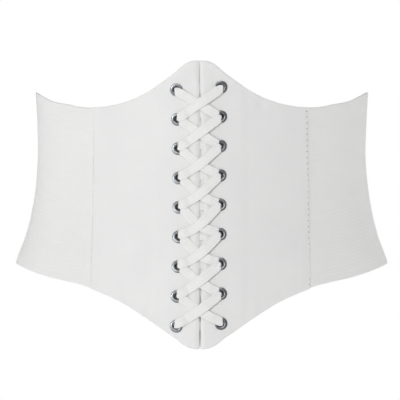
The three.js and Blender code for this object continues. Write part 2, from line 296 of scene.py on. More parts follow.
# The distances from the seam where the edge's rounding is on the outside alone, and on both sides.
SEAM_ONE_SIDED = (1, 4)
STITCH_FROM_SEAM = 0.9
# Two grooves along the seam, over the band's end and under the stitches: depth, distance from the
# panel's edge, and width.
SEAM_GROOVES = ((0.08, 9.3, 1.2), (0.12, STITCH_FROM_SEAM, 0.6))

# The facing under the eyelets: how far the panel stands back beyond it and where across that begins
# and is full, then the dip at its end by depth, place and width.
FACING_STEP, FACING_END = 0.28, (29, 37)
FACING_DIP, FACING_DIP_PLACE = 0.1, (34, 3)
# A long low wave outside the facing: its height, where across it begins and is full, and the four
# lengths of its two sines.
PANEL_WAVE, PANEL_WAVE_BEGINS = 0.12, (36, 50)
PANEL_WAVE_LENGTHS = (9.5, 23, 15, 31)

# The left panel's top corner and the right one's bottom corner lean in towards the slit: how deep,
# above (1) or below (-1) the waist, and the heights where that begins and is full. It fades with
# the distance from the slit, up to its reach, by a power.
SUNK_CORNERS = {"left": (1.1, 1, 40, 56), "right": (0.9, -1, 118, 134)}
CORNER_REACH, CORNER_POWER = 19, 1.3

# Soft dents and puckers of the panels: across, height, radius and depth. They are taller than wide.
PANEL_DENTS = (
    (-6.6, 50, 4, 0.55),
    (-4.8, 41, 2.2, 0.4),
    (-46.7, 37.5, 3.2, 0.6),
    (44.3, 36, 3.4, 0.75),
    (-37.3, -115.5, 3, 0.5),
    (-51, -106.5, 3, 0.45),
    (58.7, -103, 3.2, 0.55),
    (44.3, -112, 3.4, 0.55),
    (72, 30, 3.5, 0.35),
    (-74, -93, 3, 0.3),
)
DENT_TALLNESS = 1.3

# Columns and rows of a panel's grid, and how far from hem and seam its relief is full.
PANEL_COLUMNS, PANEL_ROWS = 78, 176
RELIEF_FROM_HEM, RELIEF_FROM_SEAM = 1.5, 1


def panel_relief(x, height):
    """How far a panel's outer face stands out from its wall: less beyond the facing, with a dip at
    its end, grooves along the seam, a long low wave, sin(x/a + z/b) sin(z/c - x/d), and the dents,
    each exp(-(distance / radius)^2) deep."""
    across = np.abs(x)
    to_seam = seam_across(height) - across
    relief = -FACING_STEP * smoothstep(across, *FACING_END)
    relief -= FACING_DIP * bell(across, *FACING_DIP_PLACE)
    for depth, place, width in SEAM_GROOVES:
        relief -= depth * bell(to_seam, place, width)
    a, b, c, d = PANEL_WAVE_LENGTHS
    wave = np.sin(x / a + height / b) * np.sin(height / c - x / d)
    relief += PANEL_WAVE * wave * smoothstep(across, *PANEL_WAVE_BEGINS)
    for across_at, height_at, radius, depth in PANEL_DENTS:
        away = ((x - across_at) ** 2 + ((height - height_at) / DENT_TALLNESS) ** 2) / radius**2
        relief -= depth * np.exp(-away)
    return relief


def panel_points(side, shares, offsets, rise, lift):
    """Across, height and the distances to hem, slit and seam on a panel, by rows and columns."""
    guess = mix(SLIT_LEFT, SEAM_AT_WAIST, shares) + offsets
    low, high = (curve(FRONT_EDGES, "across", edge, guess)[None] for edge in ("bottom", "top"))
    height = mix(low, high, rise[:, None]) + lift[:, None]
    steep = np.hypot(1, np.gradient(np.stack([low[0], high[0]]), guess, axis=1))
    hem = np.minimum((height - low) / steep[0], (high - height) / steep[1])
    slit, seam = slit_across(side, height), seam_across(height)
    across = mix(slit, seam, shares) + offsets
    return across, height, hem, across - slit, seam - across


def cut_holes(side, x, height):
    """The cells of a panel that stay, and its points, with those round a hole moved onto the hole's
    circle. A cell is dropped if its middle is in a hole, and a point moves if it touches both kept
    and dropped cells."""
    holes_x, holes_z = eyelet_places(side)
    middle_x, middle_z = (
        (a[:-1, :-1] + a[1:, :-1] + a[:-1, 1:] + a[1:, 1:])[..., None] / 4 for a in (x, height)
    )
    kept = np.min(np.hypot(middle_x - holes_x, middle_z - holes_z), -1) > HOLE_RADIUS

    def touching(cells):
        """The points that touch any of these cells."""
        around = np.pad(cells, 1)
        return around[:-1, :-1] | around[1:, :-1] | around[:-1, 1:] | around[1:, 1:]

    nearest = np.argmin(np.abs(height[..., None] - holes_z), -1)
    dx, dz = x - holes_x[nearest], height - holes_z[nearest]
    rim = touching(kept) & touching(~kept)
    pull = HOLE_RADIUS / np.where(rim, np.hypot(dx, dz), HOLE_RADIUS)
    return kept, x + dx * (pull - 1), height + dz * (pull - 1)


def make_panel(side):
    """A front panel: a wall whose thickness closes along its edges, down onto the band at the seam,
    with a round hole for each eyelet."""
    sign = EYELET_COLUMNS[side][0]
    across, height, hem, from_slit, from_seam = panel_points(
        side, *stations(PANEL_COLUMNS), *stations(PANEL_ROWS)
    )
    x = sign * across
    if sign < 0:
        x, height, hem, from_slit, from_seam = (
            a[:, ::-1] for a in (x, height, hem, from_slit, from_seam)
        )
    kept, x, height = cut_holes(side, x, height)
    wall = rounded(hem, from_seam)
    middle, half = wall_levels(PANEL_WALL)
    middle = middle - fading(from_seam, (1 - wall) * half, *SEAM_ONE_SIDED)
    middle = middle - fading(from_seam, *SEAM_CLOSED)
    sunk, end, begins, full = SUNK_CORNERS[side]
    lean = sunk * np.clip(1 - from_slit / CORNER_REACH, 0, 1) ** CORNER_POWER
    middle = middle - lean * smoothstep(end * height, begins, full)
    relief = panel_relief(x, height) * smoothstep(hem, 0, RELIEF_FROM_HEM)
    relief = relief * smoothstep(from_seam, 0, RELIEF_FROM_SEAM)
    pressed = fading(from_seam, *SEAM_PRESSED) + fading(from_slit, *SLIT_LIP)
    hollow = fading(from_slit, *SLIT_HOLLOW)
    outer = front_point(x, height, middle + half * wall + relief - pressed * wall)
    inner = front_point(x, height, middle - half * wall + hollow * wall)
    return put_wall(f"{side}_panel", outer, inner, np.stack([x, height], -1), kept)


# Columns and rows of the band's grid, the share of each half's columns that lies under a panel, and
# the heights at which the seam meets the two selvedges.
BAND_COLUMNS, BAND_ROWS, BAND_LAP_SHARE = 300, 84, 0.02
BAND_LOW, BAND_HIGH = -98.0, 33.0


def band_grid():
    """Turn and height of the band's points, and their distances to both selvedges. At each height
    the columns share the way from the seam to the middle of the back evenly, and the first few of
    them lie under the panel."""
    column = np.linspace(-1, 1, BAND_COLUMNS)[None]
    along = 1 - np.abs(column)
    rise, lift = (a[:, None] for a in stations(BAND_ROWS))

    def turn_at(height):
        """Each column's turn at a height."""
        seam = turn_of(seam_across(height), height)
        lap = turn_of(seam_across(height) - SEAM_LAP, height)
        beyond = (along - BAND_LAP_SHARE) / (1 - BAND_LAP_SHARE)
        under = mix(lap, seam, along / BAND_LAP_SHARE)
        return np.where(along < BAND_LAP_SHARE, under, mix(seam, 180, beyond))

    low = curve(BAND_EDGES, "turn", "bottom", turn_at(BAND_LOW))
    high = curve(BAND_EDGES, "turn", "top", turn_at(BAND_HIGH))
    height = mix(low, high, rise) + lift
    turn = turn_at(height)
    return np.where(column < 0, turn, 360 - turn), height, height - low, high - height


# The band's relief: a ridge beyond the panel's edge, and a groove inside both selvedges, each by its
# height or depth, distance from that edge, and width.
BAND_RIDGE, BAND_RIDGE_PLACE = 0.3, (3.4, 2)
SELVEDGE_GROOVE, SELVEDGE_GROOVE_PLACE = 0.12, (4.2, 0.7)
# Gathers beyond the panel's edge: their height, reach, and the distance where they are full; the
# lengths of their three sines, how far the second shifts the first, and how even they are.
GATHER_HEIGHT, GATHER_REACH, GATHER_FULL = 0.2, 5.5, 2
GATHER_LENGTHS, GATHER_SHIFT, GATHER_EVENNESS = (1.9, 7, 11), 1.3, 0.6
# Puckers where the panel holds the band: side, height at the panel's edge and depth; their slant
# and width, and the place and width of their deepest part.
BAND_PUCKERS = ((1, 23.95, 0.7), (1, -5.55, 0.8), (1, -50.05, 0.6), (-1, 6.95, 0.4), (-1, -31.05, 0.35))
PUCKER_SLANT, PUCKER_WIDTH, PUCKER_PLACE = 0.35, 1.9, (4, 6)
# A long low wave: its height, where it begins and is full, and the four lengths of its two sines.
BAND_WAVE, BAND_WAVE_BEGINS, BAND_WAVE_LENGTHS = 0.18, (4, 25), (9.5, 30, 19, 23)
# Where the relief begins and is full beyond the panel's edge, how far from a selvedge it is full,
# and its share on the inner face.
BAND_RELIEF_BEGINS, BAND_RELIEF_FROM_SELVEDGE, BAND_RELIEF_INSIDE = (0.3, 1.6), 1.5, 0.5
# Turn from the middle of the back within which no panel is near, and the distance used there.
BAND_BACK_TURN, BAND_FAR = 100, 200


def band_relief(turn, height, edge):
    """How far the band's outer face stands out: a ridge beside each panel's edge; gathers, which
    are sin(z/a + shift sin(z/b)), stronger and weaker by sin(z/c), and fade away from it; puckers;
    and a long low wave, sin(turn/a + z/b) sin(z/c + turn/d)."""
    x = on_waist(turn, height)[..., 0]
    sign = np.sign(x)
    at_back = np.abs(turn - 180) < BAND_BACK_TURN
    beyond = np.where(at_back, BAND_FAR, np.abs(x) - seam_across(height))
    relief = BAND_RIDGE * bell(beyond, *BAND_RIDGE_PLACE)
    relief -= SELVEDGE_GROOVE * bell(edge, *SELVEDGE_GROOVE_PLACE)
    a, b, c = GATHER_LENGTHS
    gathers = np.sin(height / a + GATHER_SHIFT * np.sin(height / b + sign))
    gathers *= GATHER_EVENNESS + (1 - GATHER_EVENNESS) * np.sin(height / c)
    gathers *= np.exp(-np.clip(beyond, 0, None) / GATHER_REACH)
    relief += GATHER_HEIGHT * gathers * smoothstep(beyond, 0, GATHER_FULL)
    for side, at, depth in BAND_PUCKERS:
        pucker = bell(height, at + PUCKER_SLANT * beyond, PUCKER_WIDTH) * bell(beyond, *PUCKER_PLACE)
        relief -= np.where(sign == side, depth * pucker, 0)
    a, b, c, d = BAND_WAVE_LENGTHS
    wave = np.sin(turn / a + height / b) * np.sin(height / c + turn / d)
    relief += BAND_WAVE * wave * smoothstep(beyond, *BAND_WAVE_BEGINS)
    full = smoothstep(beyond, *BAND_RELIEF_BEGINS) * smoothstep(edge, 0, BAND_RELIEF_FROM_SELVEDGE)
    return relief * full


def make_band():
    """The elastic band: a wall with rolled selvedges. Its flat pattern is the length along the
    outer face, and the height above the lower selvedge."""
    turn, height, from_low, from_high = band_grid()
    relief = band_relief(turn, height, np.minimum(from_low, from_high))
    wall = rounded(from_low, from_high)
    middle, half = wall_levels(BAND_WALL)
    outer = waist_point(turn, height, middle + half * wall + relief)
    inner = waist_point(turn, height, middle - half * wall + BAND_RELIEF_INSIDE * relief)
    steps = np.linalg.norm(np.diff(outer, axis=1), axis=-1)
    length = np.concatenate([np.zeros((len(steps), 1)), np.cumsum(steps, 1)], 1)
    return put_wall("band", outer, inner, np.stack([length, from_low], -1))


# The modesty strip's grid, its reach to both sides, and how much shorter it is than the panels.
STRIP_COLUMNS, STRIP_ROWS = 56, 110
STRIP_REACH, STRIP_SHORT = 34, 1.5
# How deep it stands back behind the lace, and the distances across where that is full and gone.
STRIP_SINK = (4.5, 18.5, 25)
# Beyond the lace it comes forward again: the heights where that begins, the least height that it
# takes, and how much of the sink it takes up.
STRIP_CLOSING_ABOVE, STRIP_CLOSING_BELOW = 50, -128
STRIP_CLOSING_HEIGHT, STRIP_CLOSED = 7, 0.75


def make_strip():
    """The modesty strip: a thin wall that lies on the panels at its sides, stands back behind the
    lace and comes forward again above and below it."""
    share, offset = stations(STRIP_COLUMNS)
    x = (mix(-STRIP_REACH, STRIP_REACH, share) + offset)[None]
    low = curve(FRONT_EDGES, "across", "bottom", np.abs(x)) + STRIP_SHORT
    high = curve(FRONT_EDGES, "across", "top", np.abs(x)) - STRIP_SHORT
    rise, lift = (a[:, None] for a in stations(STRIP_ROWS))
    height = mix(low, high, rise) + lift
    above = np.minimum(STRIP_CLOSING_ABOVE, high - STRIP_CLOSING_HEIGHT)
    below = np.maximum(STRIP_CLOSING_BELOW, low + STRIP_CLOSING_HEIGHT)
    closing = smoothstep(height, above, high) + smoothstep(-height, -below, -low)
    sink = fading(np.abs(x), *STRIP_SINK) * (1 - STRIP_CLOSED * closing)
    wall = rounded(height - low, high - height, STRIP_REACH - np.abs(x))
    middle, half = wall_levels(STRIP_WALL)
    outer = front_point(x, height, middle + half * wall - sink)
    inner = front_point(x, height, middle - half * wall - sink)
    return put_wall("strip", outer, inner, np.stack(np.broadcast_arrays(x, height), -1))


# The eyelet's section, as radius and outward place: the front end of its bore, the middle and half
# axes of its rolled flange, and the points under the flange, down the barrel and round the back.
EYELET_SIDES, EYELET_ROLL_POINTS = 48, 13
EYELET_BORE = (2.4, 0.2)
EYELET_FLANGE, EYELET_FLANGE_AXES = (3.5, 2.35), (1.1, 0.4)
EYELET_BARREL = ((4.54, 2.32), (4.3, 2.3), (3, 2.3), (2.9, 2.2), (2.9, 0.1))
EYELET_BACK = ((3, 0), (4.1, 0), (4.25, -0.15), (4.1, -0.35), (3.4, -0.7), (2.7, -0.75), (2.4, -0.45))


def make_eyelet(side, number):
    """A rolled eyelet: a closed section of radius and outward place, turned round the hole's axis.
    Its flange is half an ellipse."""
    roll = np.linspace(np.pi, 0, EYELET_ROLL_POINTS)[:, None]
    flange = EYELET_FLANGE + np.array(EYELET_FLANGE_AXES) * np.hstack([np.cos(roll), np.sin(roll)])
    radius, out = np.concatenate([[EYELET_BORE], flange, EYELET_BARREL, EYELET_BACK]).T
    angle = np.linspace(0, 2 * np.pi, EYELET_SIDES, endpoint=False)[:, None]
    x, z = (places[number - 1] for places in eyelet_places(side))
    centre, normal = waist_frame(turn_of(x, z), np.array(z))
    sideways = np.cross([0, 0, 1], normal)
    sideways /= np.linalg.norm(sideways)
    upwards = np.cross(normal, sideways)
    points = (
        centre
        + (radius * np.cos(angle))[..., None] * sideways
        + (radius * np.sin(angle))[..., None] * upwards
        + np.broadcast_to(out, (EYELET_SIDES, len(out)))[..., None] * normal
    )
    faces = ring_faces(*points.shape[:2])
    return put_mesh(f"{side}_eyelet_{number}", points.reshape(-1, 3), [faces])


# The lace: a flat braid, bunched where it goes through an eyelet. Its two strands never touch: the
# upper one lies over the lower one in front and further in behind the panels.
LACE_HALF_WIDTH, LACE_HALF_THICKNESS = 3.45, 0.2
LACE_BUNCHED_WIDTH, LACE_BUNCHED_THICKNESS = 1.1, 0.5
# Place of each strand in a hole, towards the slit, its level in front and its level behind.
STRANDS = {"lower": (1.2, 3.27, -1.75), "upper": (-0.1, 3.88, -3.25)}
# In the top and bottom rows a strand has the hole to itself: its place there, and its size.
LACE_ALONE_SEAT, LACE_ALONE_WIDTH, LACE_ALONE_THICKNESS = -0.9, 1.8, 0.7
# The bend over a hole's edge: its radius, and the angles in half turns between which the braid
# opens in front. It leaves with the exit's half width, shift up or down, and lean; in the hole it is
# shifted less.
LACE_BEND, LACE_OPENING = 1.2, (0.9, 0.5)
LACE_EXIT_WIDTH, LACE_EXIT_SHIFT, LACE_EXIT_LEAN = 3.1, 1.2, math.radians(24)
LACE_HOLE_SHIFT = 0.2
# An outer stretch: the share of its course that each end leaves to the bend, how far it goes on in
# the direction of its exit, and the distances from the nearer hole between which it widens.
LACE_ACROSS_START, LACE_STRAIGHT, LACE_WIDENING = 0.045, 4, (1, 5)
# Level of each strand between its eyelets, on the left and on the right, and the places across
# between which it changes; the distances from the nearer hole between which it is taken up; and
# the upper one's rise at a crossing, with the distances where that is full and gone.
LACE_REST = {"lower": (2.34, 3.6), "upper": (2.5, 3.85)}
LACE_REST_CHANGE = {"lower": (0, 8), "upper": (-5.5, 6)}
LACE_REST_BEGINS = (4, 10)
LACE_CROSSING_RISE = (0.32, 6, 10)
# The pleats of the bunched braid: their number, depth, and share of that in the hole; the distances
# from the hole where they are full and gone, and the height in the oval, from -1 to 1, above which
# they lie.
LACE_PLEATS, LACE_PLEAT_DEPTH, LACE_HOLE_PLEAT = 3, 0.2, 0.5
LACE_PLEATS_FADE, LACE_PLEAT_FRONT = (2, 9), 0.3
# Points of a section, the power of its oval, and the number of sections in each kind of stretch.
LACE_SECTION_POINTS, LACE_OVAL_POWER = 24, 5
LACE_OUTER_BEND, LACE_INNER_BEND, LACE_ACROSS, LACE_INSIDE = 8, 6, 34, 17
# How far each crossing hangs below the middle between its rows, top to bottom.
LACE_SAGS = (0, 0.2, 1.7, 2.2, 3.1, 2.9, 1.2, 1.1)
# An inner stretch: the share of its course that each end leaves to the bend, and the shares between
# which it opens. Then its level half way, and how far above its eyelets it lies there.
LACE_INSIDE_START, LACE_INSIDE_OPENING = 0.12, (0.14, 0.34)
LACE_BEHIND = {
    "upper to lower": (1.0, 0),
    "lower to lower": (1.0, 2.9),
    "upper to upper": (0.52, -3.9),
    "lower to upper": (1.0, 0),
}
# How much deeper the inner stretches lie in some rows, counted from 0: behind the leaning corners,
# and in the last row but one, where the slit shows dark.
LACE_SLACKS = {0: 0.6, 7: 0.8, 8: 0.6}


def lace_through(hole, strand, heading, alone):
    """Sections through an eyelet from outside to inside: two quarter circles over its edge. On the
    outer one the braid opens, shifts up or down by its heading and leans into its course. Columns:
    middle, wide and thick directions, half width, half thickness, pleat depth."""
    x, z = hole
    seat, outside, inside = STRANDS[strand]
    width, thickness = LACE_BUNCHED_WIDTH, LACE_BUNCHED_THICKNESS
    if alone:
        seat, width, thickness = LACE_ALONE_SEAT, LACE_ALONE_WIDTH, LACE_ALONE_THICKNESS
    to_slit = -np.sign(x)
    outer, inner = np.linspace(0.5, 1, LACE_OUTER_BEND), np.linspace(1, 1.5, LACE_INNER_BEND)[1:]
    angle = np.pi * np.concatenate([outer, inner])
    opened = np.concatenate([smoothstep(outer, *LACE_OPENING), 0 * inner])
    behind = np.concatenate([0 * outer, smoothstep(inner, 1, 1.5)])
    level = np.concatenate([outside - LACE_BEND + 0 * outer, inside + LACE_BEND + 0 * inner])
    shift = mix(LACE_HOLE_SHIFT, LACE_EXIT_SHIFT, opened) * (1 - behind)
    thick = np.stack([to_slit * np.cos(angle), 0 * angle, np.sin(angle)], -1)
    middle = np.stack(
        [x + to_slit * (seat + LACE_BEND) + 0 * angle, z + heading * shift, level], -1
    )
    lean = LACE_EXIT_LEAN * opened
    wide = np.stack([-to_slit * heading * np.sin(lean), np.cos(lean), 0 * lean], -1)
    half_width = mix(mix(width, LACE_EXIT_WIDTH, opened), LACE_BUNCHED_WIDTH, behind)
    half_thickness = mix(mix(thickness, LACE_HALF_THICKNESS, opened), LACE_BUNCHED_THICKNESS, behind)
    pleat = LACE_PLEAT_DEPTH * mix(LACE_HOLE_PLEAT, 1, opened) * (1 - behind)
    sizes = np.stack([half_width, half_thickness, pleat], -1)
    return np.concatenate([middle + thick * LACE_BEND, wide, thick, sizes], -1)


def lace_across(start_hole, end_hole, strand, sag, start_alone, end_alone):
    """Sections of an outer stretch from a left to a right eyelet, along a cubic Bezier curve that
    hangs down by sag sin^2(pi t). The braid opens to its full width and goes over to its level
    between the eyelets; the upper strand rises where it crosses the lower one."""
    seat, outside, _ = STRANDS[strand]
    start_hole, end_hole = np.array(start_hole), np.array(end_hole)
    heading = np.sign(end_hole[1] - start_hole[1])
    start_reach, end_reach = (
        np.array([(LACE_ALONE_SEAT if alone else seat) + LACE_BEND, heading * LACE_EXIT_SHIFT])
        for alone in (start_alone, end_alone)
    )
    lead = LACE_STRAIGHT * np.array([math.cos(LACE_EXIT_LEAN), heading * math.sin(LACE_EXIT_LEAN)])
    start, end = start_hole + start_reach, end_hole - end_reach
    a, b, c, d = start, start + lead, end - lead, end
    t = np.linspace(LACE_ACROSS_START, 1 - LACE_ACROSS_START, LACE_ACROSS)[:, None]
    place = a * (1 - t) ** 3 + 3 * b * t * (1 - t) ** 2 + 3 * c * t * t * (1 - t) + d * t**3
    place[:, 1:] -= sag * np.sin(np.pi * t) ** 2
    course = np.gradient(place, axis=0)
    course /= np.linalg.norm(course, axis=1, keepdims=True)
    away = np.minimum(
        np.linalg.norm(place - start_hole, axis=1), np.linalg.norm(place - end_hole, axis=1)
    )
    rest = mix(*LACE_REST[strand], smoothstep(place[:, 0], *LACE_REST_CHANGE[strand]))
    level = mix(outside, rest, smoothstep(away, *LACE_REST_BEGINS))
    if strand == "upper":
        crossing = (start_hole + end_hole) / 2 - (0, sag)
        from_crossing = np.linalg.norm(place - crossing, axis=1)
        level = level + fading(from_crossing, *LACE_CROSSING_RISE)
    flat = 0 * away
    middle = np.stack([place[:, 0], place[:, 1], level], -1)
    wide = np.stack([-course[:, 1], course[:, 0], flat], -1)
    thick = np.stack([flat, flat, flat + 1], -1)
    half_width = mix(LACE_EXIT_WIDTH, LACE_HALF_WIDTH, smoothstep(away, *LACE_WIDENING))
    pleat = fading(away, LACE_PLEAT_DEPTH, *LACE_PLEATS_FADE)
    sizes = np.stack([half_width, flat + LACE_HALF_THICKNESS, pleat], -1)
    return np.concatenate([middle, wide, thick, sizes], -1)


def lace_behind(start_hole, end_hole, start_strand, end_strand, sag, slack):
    """Sections of an inner stretch, behind the panels from a right to a left eyelet. Half way it is
    open, lies deeper by the slack, and hangs down by the sag, as the crossings beside it do."""
    t = np.linspace(LACE_INSIDE_START, 1 - LACE_INSIDE_START, LACE_INSIDE)[:, None]
    start = np.array([*start_hole, STRANDS[start_strand][2]])
    end = np.array([*end_hole, STRANDS[end_strand][2]])
    middle = mix(start, end, t)
    opened = smoothstep(np.minimum(t, 1 - t), *LACE_INSIDE_OPENING)
    level, shift = LACE_BEHIND[start_strand + " to " + end_strand]
    middle[:, 2:] = mix(middle[:, 2:], level - slack, opened)
    middle[:, 1:2] += (shift - sag) * opened
    sides = np.broadcast_to([0, 1, 0, 0, 0, -1], (len(t), 6))
    half_width = mix(LACE_BUNCHED_WIDTH, LACE_HALF_WIDTH, opened)
    half_thickness = mix(LACE_BUNCHED_THICKNESS, LACE_HALF_THICKNESS, opened)
    return np.concatenate([middle, sides, half_width, half_thickness, 0 * t], -1)


def make_lace():
    """The whole lace as one closed loop: down as the lower strand, through the bottom row, and back
    up as the upper one. Its section is a flat oval, b = sqrt(1 - |a|^p), with pleats pressed into
    the front where it is bunched: depth (1 - cos(2 pi n a)) / 2."""
    left, right = (list(zip(*eyelet_places(side))) for side in ("left", "right"))
    last = EYELETS - 1
    stretches = []
    row_sags = (np.array([0, *LACE_SAGS]) + [*LACE_SAGS, 0]) / 2

    def stretch(i, j, strand, next_strand):
        """Out of left eyelet i, across into right eyelet j, and behind to left eyelet j."""
        heading = np.sign(right[j][1] - left[i][1])
        i_alone, j_alone = i in (0, last), j in (0, last)
        slack = LACE_SLACKS.get(j, 0)
        stretches.extend(
            (
                lace_through(left[i], strand, heading, i_alone)[::-1],
                lace_across(left[i], right[j], strand, LACE_SAGS[min(i, j)], i_alone, j_alone),
                lace_through(right[j], strand, -heading, j_alone),
                lace_behind(right[j], left[j], strand, next_strand, row_sags[j], slack),
            )
        )

    for i in range(last):
        stretch(i, i + 1, "lower", "lower" if i + 1 < last else "upper")
    for i in range(last, 0, -1):
        stretch(i, i - 1, "upper", "upper" if i > 1 else "lower")
    sections = np.concatenate(stretches)
    middle, wide, thick = (sections[:, None, k : k + 3] for k in (0, 3, 6))
    half_width, half_thickness, pleat = (sections[:, None, k : k + 1] for k in (9, 10, 11))
    turn = np.linspace(0, 2 * np.pi, LACE_SECTION_POINTS, endpoint=False)[None, :, None]
    a, b = np.cos(turn), np.sign(np.sin(turn))
    b = b * np.sqrt(1 - np.abs(a) ** LACE_OVAL_POWER)
    pleats = pleat * (1 - np.cos(2 * np.pi * LACE_PLEATS * a)) / 2
    pressed = np.where(b > LACE_PLEAT_FRONT, pleats, 0)
    flat = middle + wide * a * half_width + thick * (b * half_thickness - pressed)
    points = front_point(flat[..., 0], flat[..., 1], flat[..., 2])
    steps = np.linalg.norm(np.diff(sections[:, :3], axis=0), axis=1)
    length = np.concatenate([[0], np.cumsum(steps)])[:, None, None]
    uv = np.concatenate([length + 0 * a, LACE_HALF_WIDTH * a + 0 * length], -1) * MM
    return put_mesh("laces", points.reshape(-1, 3), [ring_faces(*flat.shape[:2])], uv.reshape(-1, 2))


# A stitch is a short thread that lies on the surface and sinks in at both ends: its rings and
# sides, and how deep its ends are in, as a share of its radius.
STITCH_RINGS, STITCH_SIDES, STITCH_SUNK = 7, 6, 0.45


def stitch_row(name, path, normal, pitch, length, radius):
    """Stitches along a path of points, at equal steps of its own length: each is a tube whose
    middle line is a low arch, r sin(pi t) high, and whose radius is r (1 - (2t - 1)^4 / 2)."""
    steps = np.linalg.norm(np.diff(path, axis=0), axis=1)
    along = np.concatenate([[0], np.cumsum(steps)])
    count = int((along[-1] - length) // pitch)
    start = (along[-1] - count * pitch - length) / 2 + pitch * np.arange(count + 1)

    def read(values, at):
        """The path's points or directions at these lengths along it."""
        return np.stack([np.interp(at, along, values[:, k]) for k in range(3)], -1)

    t = np.linspace(0, 1, STITCH_RINGS)
    at = start[:, None] + length * t
    middle, out = read(path, at), read(normal, at)
    near = 0.05
    course = read(path, at + near) - read(path, at - near)
    course /= np.linalg.norm(course, axis=-1, keepdims=True)
    out /= np.linalg.norm(out, axis=-1, keepdims=True)
    beside = np.cross(course, out)
    middle = middle + out * (radius * (np.sin(np.pi * t) - STITCH_SUNK))[None, :, None]
    turn = np.linspace(0, 2 * np.pi, STITCH_SIDES, endpoint=False)
    wide = (radius * (1 - (2 * t - 1) ** 4 / 2))[None, :, None, None]
    ring = np.cos(turn)[:, None] * beside[:, :, None] + np.sin(turn)[:, None] * out[:, :, None]
    points = middle[:, :, None] + wide * ring
    number = np.arange(points[..., 0].size).reshape(points.shape[:3])
    right = np.roll(number, -1, 2)
    sides = np.stack([number[:, :-1], number[:, 1:], right[:, 1:], right[:, :-1]], -1)
    ends = [number[:, 0], number[:, -1, ::-1]]
    return put_mesh(name, points.reshape(-1, 3), [sides.reshape(-1, 4), *ends])


# The stitches, how far from the hems their row ends, and the needle holes between them, which are grey
# rounds of painted shade.
STITCH_LEVEL, STITCH_PITCH, STITCH_LENGTH, THREAD_RADIUS = 0.86, 4.2, 3.4, 0.3
SEAM_ROW_MARGIN, SEAM_ROW_POINTS = 2.5, 300
NEEDLE_HOLE_LEVEL, NEEDLE_HOLE_DEPTH, NEEDLE_HOLE_SIDES = 0.9, 0.5, 8
NEEDLE_HOLE_RADIUS = {"left": 0.16, "right": 0.4}


def seam_row_ends():
    """The heights between which a seam is stitched: the hems there, less the margin."""
    low, high = (curve(FRONT_EDGES, "across", edge, SEAM_AT_WAIST) for edge in ("bottom", "top"))
    return low + SEAM_ROW_MARGIN, high - SEAM_ROW_MARGIN


def seam_row_across(side, height):
    """Signed distance across of a seam's stitches at a height."""
    return EYELET_COLUMNS[side][0] * (seam_across(height) - STITCH_FROM_SEAM)


def make_stitches(side):
    """The seam row of a panel, close to its edge on the band."""
    height = np.linspace(*seam_row_ends(), SEAM_ROW_POINTS)
    point, normal = waist_frame(turn_of(seam_row_across(side, height), height), height)
    name = f"{side}_seam_stitches"
    path = point + STITCH_LEVEL * normal
    return stitch_row(name, path, normal, STITCH_PITCH, STITCH_LENGTH, THREAD_RADIUS)


def make_needle_holes(side):
    """The needle holes between the stitches of a seam: each is a small round of painted shade, closed
    by a cone that points into the panel."""
    low, high = seam_row_ends()
    count = int((high - low - STITCH_LENGTH) // STITCH_PITCH)
    first = (low + high - count * STITCH_PITCH - STITCH_PITCH) / 2
    centre = first + STITCH_PITCH * np.arange(count + 2)
    turn = np.append(np.linspace(0, 2 * np.pi, NEEDLE_HOLE_SIDES, endpoint=False), 0)
    radius = np.append(np.full(NEEDLE_HOLE_SIDES, NEEDLE_HOLE_RADIUS[side]), 0)
    level = np.where(radius > 0, NEEDLE_HOLE_LEVEL, NEEDLE_HOLE_LEVEL - NEEDLE_HOLE_DEPTH)
    height = centre[:, None] + radius * np.sin(turn)
    across = seam_row_across(side, height) + radius * np.cos(turn)
    points = front_point(across, height, level)
    number = np.arange(height.size).reshape(height.shape)
    ring, tip = number[:, :-1], np.broadcast_to(number[:, -1:], number[:, :-1].shape)
    cone = np.stack([np.roll(ring, -1, 1), ring, tip], -1)
    return put_mesh(f"{side}_needle_holes", points.reshape(-1, 3), [ring, cone.reshape(-1, 3)])


def linear(code):
    """An sRGB hex colour as linear red, green, blue and alpha."""
    parts = [int(code[i : i + 2], 16) / 255 for i in (1, 3, 5)]
    return (*(c / 12.92 if c <= 0.04045 else ((c + 0.055) / 1.055) ** 2.4 for c in parts), 1)


def feed(tree, node, sockets):
    """Gives a node's inputs, by name or number, a value or a link from another node's output."""
    for name, value in sockets.items():
        if isinstance(value, bpy.types.NodeSocket):
            tree.links.new(value, node.inputs[name])
        else:
            node.inputs[name].default_value = value


def add(tree, kind, sockets=None, **settings):
    """Adds a node with its settings and inputs."""
    node = tree.nodes.new(kind)
    for name, value in settings.items():
        setattr(node, name, value)
    feed(tree, node, sockets or {})
    return node


def new_material(name):
    """A new material, its node tree and its shader."""
    material = bpy.data.materials.new(name)
    material.use_nodes = True
    tree = material.node_tree
    return material, tree, tree.nodes["Principled BSDF"]


def blend_colours(tree, share, first, second):
    """Colour between two hex colours by a share from a node."""
    ends = {6: linear(first), 7: linear(second)}
    return add(tree, "ShaderNodeMix", {0: share, **ends}, data_type="RGBA").outputs[2]


def sine_of(tree, value, period_mm):
    """sin(2 pi x / period) of a length in metres."""
    rate = 2 * math.pi / (period_mm * MM)
    phase = add(tree, "ShaderNodeMath", {0: value, 1: rate}, operation="MULTIPLY")
    return add(tree, "ShaderNodeMath", {0: phase.outputs[0]}, operation="SINE").outputs[0]


